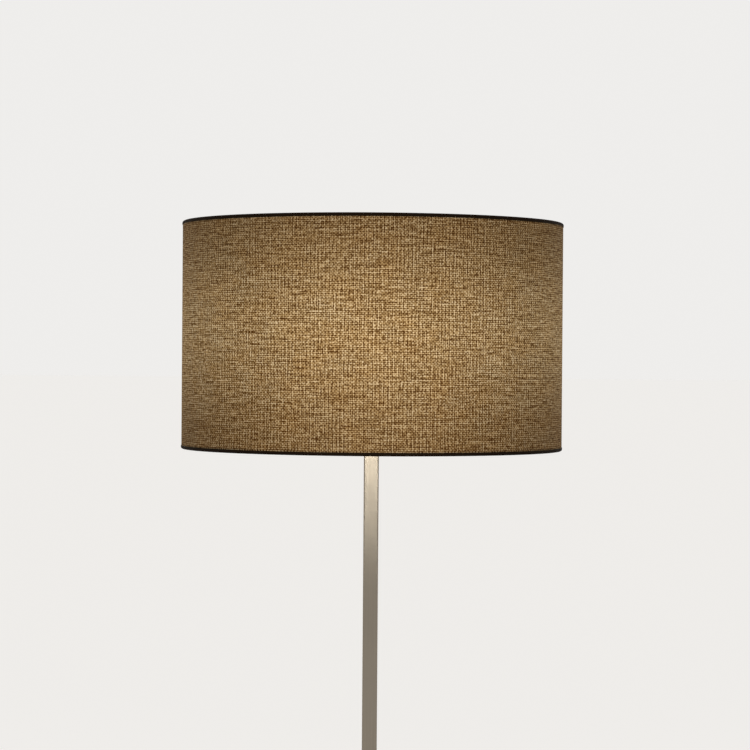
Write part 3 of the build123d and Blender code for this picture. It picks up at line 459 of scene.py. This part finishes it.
def shade_cloth():
    """The linen as one cut piece with a thickness, laid round the drum. It laps over itself at the back."""
    rng = random.Random(7)
    low, high = FABRIC_LOW[2] + CLOTH_END_GAP, FABRIC_HIGH[2] - CLOTH_END_GAP
    total = 2 * math.pi * FABRIC_RADIUS + LAP
    waves = [(rng.randint(3, 11), rng.uniform(0, 6.283), rng.uniform(0.2, 1.0)) for _ in range(6)]
    lengths = [total * i / CLOTH_COLUMNS for i in range(CLOTH_COLUMNS + 1)]
    shares = [j / CLOTH_ROWS for j in range(CLOTH_ROWS + 1)]
    heights = [low + (high - low) * t for t in shares]
    mesh = bmesh.new()
    uv_layer = mesh.loops.layers.uv.new("cloth")
    grid_out, grid_in = [], []
    for s in lengths:
        angle = CLOTH_SEAM + LAP / 2 / FABRIC_RADIUS - s / FABRIC_RADIUS
        ripple = sum(a * math.sin(k * angle + p) for k, p, a in waves) * CLOTH_SLACK
        lift = lap_lift(s)
        thickness = LAP_THICKNESS if lift > 0.3 * MM else CLOTH_THICKNESS
        column_out, column_in = [], []
        for t, z in zip(shares, heights):
            slack = ripple * math.sin(math.pi * t)
            free = LAP_HELD + (1 - LAP_HELD) * min(1.0, LAP_RISE * min(t, 1 - t))
            outer = FABRIC_RADIUS - CLOTH_INSET + slack + lift * free
            for store, radius in ((column_out, outer), (column_in, outer - thickness)):
                store.append(mesh.verts.new((radius * math.cos(angle), radius * math.sin(angle), z)))
        grid_out.append(column_out)
        grid_in.append(column_in)

    def quad(corners, uvs):
        face = mesh.faces.new(corners)
        face.smooth = True
        for loop, uv in zip(face.loops, uvs):
            loop[uv_layer].uv = uv

    for i in range(CLOTH_COLUMNS):
        s0, s1 = lengths[i], lengths[i + 1]
        for j in range(CLOTH_ROWS):
            z0, z1 = heights[j], heights[j + 1]
            near, far = grid_out[i], grid_out[i + 1]
            quad((near[j], near[j + 1], far[j + 1], far[j]), [(s0, z0), (s0, z1), (s1, z1), (s1, z0)])
            near, far = grid_in[i], grid_in[i + 1]
            quad((near[j], far[j], far[j + 1], near[j + 1]), [(s0, z0), (s1, z0), (s1, z1), (s0, z1)])
        for j in (0, CLOTH_ROWS):
            a, b, c, d = grid_out[i][j], grid_out[i + 1][j], grid_in[i + 1][j], grid_in[i][j]
            quad((a, d, c, b) if j else (a, b, c, d), [(s0, heights[j])] * 4)
    for i in (0, CLOTH_COLUMNS):
        out, back = grid_out[i], grid_in[i]
        for j in range(CLOTH_ROWS):
            a, b, c, d = out[j], back[j], back[j + 1], out[j + 1]
            quad((a, d, c, b) if i else (a, b, c, d), [(lengths[i], heights[j])] * 4)
    cloth = finished(mesh, "shade_cloth", LINEN)
    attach(cloth, "shade")
    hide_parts("shade_fabric")


shade_cloth()

# ---- Turned pieces with screw threads ----


def threaded(name, body, node, material, outline, thread, segments, closed):
    """A piece turned about Z that replaces a node.

    An outline point is (radius, height, whether a thread starts at it). The thread is its pitch, its
    depth and the two heights at which it fades out. A closed outline runs back to its first point.
    """
    pitch, depth, thread_low, thread_high = thread
    rings = []
    for i, (r, z, has_thread) in enumerate(outline):
        rings.append((r, z, has_thread, True))
        if has_thread:
            r2, z2, _ = outline[(i + 1) % len(outline)]
            steps = max(2, round(abs(z2 - z) / (pitch / 10)))
            for k in range(1, steps):
                rings.append((r + (r2 - r) * k / steps, z + (z2 - z) * k / steps, True, False))

    def radius(r, z, turn, cut):
        if not cut:
            return r
        from_low = min(1.0, max(0.0, (z - thread_low) / (pitch / 2)))
        from_high = min(1.0, max(0.0, (thread_high - z) / (pitch / 2)))
        ends = from_low * from_high
        return r - depth * ends * (0.5 - 0.5 * math.cos(2 * math.pi * (z / pitch) - turn))

    mesh = bmesh.new()
    turns = [2 * math.pi * k / segments for k in range(segments)]
    grid = []
    for r, z, cut, _ in rings:
        if r == 0:
            grid.append([mesh.verts.new((0, 0, z))] * segments)
            continue
        ring = []
        for turn in turns:
            reach = radius(r, z, turn, cut)
            ring.append(mesh.verts.new((reach * math.cos(turn), reach * math.sin(turn), z)))
        grid.append(ring)
    for i in range(len(grid) if closed else len(grid) - 1):
        low, high = grid[i], grid[(i + 1) % len(grid)]
        for k in range(segments):
            after = (k + 1) % segments
            corners = list(dict.fromkeys((low[k], low[after], high[after], high[k])))
            mesh.faces.new(corners).smooth = True
    for ring, (_, _, _, corner) in zip(grid, rings):
        if corner and ring[0] is not ring[1]:
            for k in range(segments):
                mesh.edges.get((ring[k], ring[(k + 1) % segments])).smooth = False
    piece = finished(mesh, name, material)
    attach(piece, body)
    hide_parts(node)


def bulb_screw_cap():
    """The bulb's rolled screw cap, with a flared skirt round the glass."""
    low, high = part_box("bulb_cap")
    bottom, top, skirt = low[2], high[2], high[0]
    wall, flare, skirt_height = 0.4 * MM, 1.5 * MM, 4.2 * MM
    pitch, depth = 3.63 * MM, 0.55 * MM
    crest, neck, lip = skirt - flare, top - skirt_height, top - skirt_height / 2
    outline = [
        (crest - wall, bottom, False),
        (crest, bottom, True),
        (crest, neck, False),
        (skirt, lip, False),
        (skirt, top, False),
        (skirt - wall, top, False),
        (skirt - wall, lip, False),
        (crest - wall, neck, True),
    ]
    thread = (pitch, depth, bottom + 2.4 * MM, neck - 0.6 * MM)
    threaded("bulb_screw_cap", "bulb", "bulb_cap", ALLOY, outline, thread, 96, True)


def swivel_stud():
    """The turning stud under the finial: rivet head, shoulder and threaded end."""
    low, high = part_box("harp_swivel")
    bottom, top, shoulder = low[2], high[2], high[0]
    head, pin, stud, tip = 4.3 * MM, 2.5 * MM, 3.175 * MM, 0.8 * MM
    pitch, depth = 0.94 * MM, 0.3 * MM
    head_top, seat = bottom + 1.5 * MM, top - 13 * MM
    under = seat - 2 * MM
    outline = [
        (0, bottom, False),
        (head * 0.667, bottom, False),
        (head, bottom + 0.75 * MM, False),
        (head, head_top, False),
        (pin, head_top, False),
        (pin, under, False),
        (shoulder, under, False),
        (shoulder, seat, False),
        (stud, seat, True),
        (stud, top - tip, False),
        (stud - tip, top, False),
        (0, top, False),
    ]
    thread = (pitch, depth, seat + 1.8 * MM, top - tip)
    threaded("swivel_stud", "shade", "harp_swivel", NICKEL, outline, thread, 48, False)


bulb_screw_cap()
swivel_stud()

# ---- Stage ----

BACKDROP = (0.86, 0.85, 0.835)
WORLD_LIGHT = 0.22
KEY_LIGHT = 0.40
FLOOR_SIDE = 400
FLOOR_ALBEDO = 0.55
# The fills light the floor near the lamp, so it glows by a smaller share there and in full farther out.
FILLS_NEAR, FILLS_FAR, FILLS_SHARE = 2.5, 6.0, 0.79


def pale_rays(tree, low, high):
    """A strength: high for what the camera, a mirror or a glass shows, low for the light it gives."""
    path = tree.nodes.new("ShaderNodeLightPath")
    total = path.outputs["Is Camera Ray"]
    for ray in ("Is Glossy Ray", "Is Transmission Ray"):
        either = tree.nodes.new("ShaderNodeMath")
        either.operation = "MAXIMUM"
        tree.links.new(total, either.inputs[0])
        tree.links.new(path.outputs[ray], either.inputs[1])
        total = either.outputs[0]
    strength = tree.nodes.new("ShaderNodeMapRange")
    strength.inputs["To Min"].default_value = low
    strength.inputs["To Max"].default_value = high
    tree.links.new(total, strength.inputs["Value"])
    return strength.outputs["Result"]


def pale_floor():
    """A floor that keeps the lamp's shadow and can't be seen from below."""
    bpy.ops.mesh.primitive_plane_add(size=FLOOR_SIDE, location=(0, 0, 0))
    floor = bpy.context.object
    floor.name = "floor"
    m = Mat("floor", Roughness=1.0, Specular_IOR_Level=0.0)
    m.set("Base Color", tuple(FLOOR_ALBEDO * c / BACKDROP[0] for c in BACKDROP))
    m.set("Emission Color", BACKDROP)
    reach = m.node("ShaderNodeVectorMath", {0: m.coords()}, operation="LENGTH").outputs["Value"]
    under_fills = m.remap(reach, FILLS_NEAR, FILLS_FAR, FILLS_SHARE, 1.0, smooth=True)
    seen = pale_rays(m.tree, 0.0, 1.0 - FLOOR_ALBEDO * (WORLD_LIGHT + KEY_LIGHT) / BACKDROP[0])
    m.set("Emission Strength", m.math("MULTIPLY", seen, under_fills))
    clear = m.node("ShaderNodeBsdfTransparent")
    backface = m.node("ShaderNodeNewGeometry").outputs["Backfacing"]
    one_sided = m.node("ShaderNodeMixShader", {0: backface})
    output = next(n for n in m.tree.nodes if n.type == "OUTPUT_MATERIAL")
    m.tree.links.new(m.shader.outputs[0], one_sided.inputs[1])
    m.tree.links.new(clear.outputs[0], one_sided.inputs[2])
    m.tree.links.new(one_sided.outputs[0], output.inputs["Surface"])
    floor.data.materials.append(m.material)


def pale_world():
    """A plain pale background that gives less light than it shows."""
    world = bpy.data.worlds.new("world")
    bpy.context.scene.world = world
    world.use_nodes = True
    tree = world.node_tree
    back = tree.nodes["Background"]
    back.inputs["Color"].default_value = (*BACKDROP, 1.0)
    tree.links.new(pale_rays(tree, WORLD_LIGHT / BACKDROP[0], 1.0), back.inputs["Strength"])


def light(name, kind, at, aim, power, **values):
    """A soft lamp pointed at a place."""
    data = bpy.data.lights.new(name, kind)
    data.energy = power
    for key, value in values.items():
        setattr(data, key, value)
    lamp = bpy.data.objects.new(name, data)
    bpy.context.scene.collection.objects.link(lamp)
    lamp.location = at
    lamp.rotation_euler = (Vector(aim) - Vector(at)).to_track_quat("-Z", "Y").to_euler()
    return lamp


pale_floor()
pale_world()

# The sun stands 45 degrees up, and its power makes a level white floor as bright as KEY_LIGHT.
light(
    "key", "SUN", (0, -3, 3), (0, 0, 0), KEY_LIGHT * math.pi / math.sin(math.radians(45)),
    angle=math.radians(30), color=(1.0, 0.975, 0.94),
)
light(
    "spot", "SPOT", (0, -2.6, 1.17), (0, 0, 1.415), 158,
    spot_size=math.radians(12), spot_blend=1.0, shadow_soft_size=0.12, color=(1.0, 0.985, 0.92),
)
for name, side in (("fill_left", -1), ("fill_right", 1)):
    fill = light(
        name, "AREA", (side * 2.6, 2.4, 2.0), (0, 0, 1.0), 30,
        shape="DISK", size=3.0, color=(1.0, 0.96, 0.90),
    )
    fill.visible_camera = False
glow = light(
    "bulb_light", "POINT", (0, 0, BULB_MIDDLE), (0, 0, 0), 2.4,
    shadow_soft_size=BULB_RADIUS + 4 * MM, color=(1.0, 0.80, 0.55),
)
glow.visible_camera = False
glow.visible_glossy = False

# ---- Camera ----

SENSOR = 36.0
# The focal length and the two aims are in the units in which the frame's side is 750.
FRAME_SIDE = 750
FOCAL = 2551.6
AIM_DOWN, AIM_RIGHT = 15.0, 3.0
ROLL = math.radians(0.42)
CAMERA_DISTANCE = 13.42 * SHADE_RADIUS
CAMERA_HEIGHT = SHADE_BOTTOM + 0.395 * (SHADE_TOP - SHADE_BOTTOM)

camera_data = bpy.data.cameras.new("camera")
camera_data.sensor_width = SENSOR
camera_data.lens = FOCAL / FRAME_SIDE * SENSOR
camera = bpy.data.objects.new("camera", camera_data)
bpy.context.scene.collection.objects.link(camera)
bpy.context.scene.camera = camera
camera.location = (0.0, -CAMERA_DISTANCE, CAMERA_HEIGHT)
pan = Matrix.Rotation(-math.atan(AIM_RIGHT / FOCAL), 3, "Z")
tilt = Matrix.Rotation(math.pi / 2 - math.atan(AIM_DOWN / FOCAL), 3, "X")
camera.rotation_mode = "QUATERNION"
camera.rotation_quaternion = (pan @ tilt @ Matrix.Rotation(ROLL, 3, "Z")).to_quaternion()

bpy.context.scene.view_settings.view_transform = "Standard"
